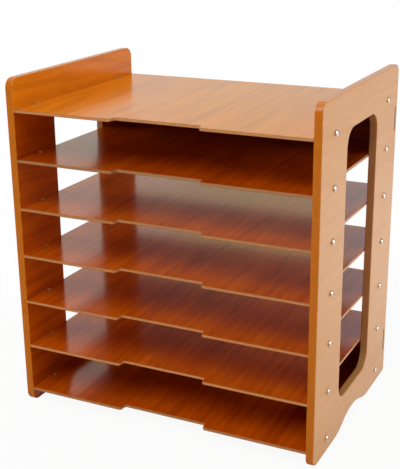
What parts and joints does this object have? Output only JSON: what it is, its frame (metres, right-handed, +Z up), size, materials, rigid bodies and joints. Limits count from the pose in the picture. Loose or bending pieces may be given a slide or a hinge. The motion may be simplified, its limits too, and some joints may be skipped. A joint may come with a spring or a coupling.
{
  "type": "tiered paper organizer",
  "caption": "Tiered wooden paper organizer: thin flat shelves with finger recesses, screwed between two tall side panels with rounded cut-outs.",
  "frame": {"origin": "on the floor under the middle of the organizer", "axes": "+Z up, -Y towards the open front, +X to the right of someone facing the front"},
  "size_m": [0.3308, 0.232, 0.3485],
  "materials": {
    "panel_wood": "glossy laminate, cherry tone, grain front to back",
    "shelf_wood": "glossy laminate, cherry tone, grain front to back, bare tan edges",
    "screw_nickel": "nickel-plated steel",
    "nut_steel": "browned steel"
  },
  "bodies": {
    "root": {"left_side_panel": "panel_wood", "right_side_panel": "panel_wood", "bottom_shelf": "shelf_wood", "bottom_shelf_screws": "screw_nickel", "bottom_shelf_nuts": "nut_steel", "shelf_6": "shelf_wood", "shelf_6_screws": "screw_nickel", "shelf_6_nuts": "nut_steel", "shelf_5": "shelf_wood", "shelf_5_screws": "screw_nickel", "shelf_5_nuts": "nut_steel", "shelf_4": "shelf_wood", "shelf_4_screws": "screw_nickel", "shelf_4_nuts": "nut_steel", "shelf_3": "shelf_wood", "shelf_3_screws": "screw_nickel", "shelf_3_nuts": "nut_steel", "shelf_2": "shelf_wood", "shelf_2_screws": "screw_nickel", "shelf_2_nuts": "nut_steel", "top_shelf": "shelf_wood", "top_shelf_screws": "screw_nickel", "top_shelf_nuts": "nut_steel", "upper_back_board": "shelf_wood", "lower_back_board": "shelf_wood"}
  },
  "joints": []
}
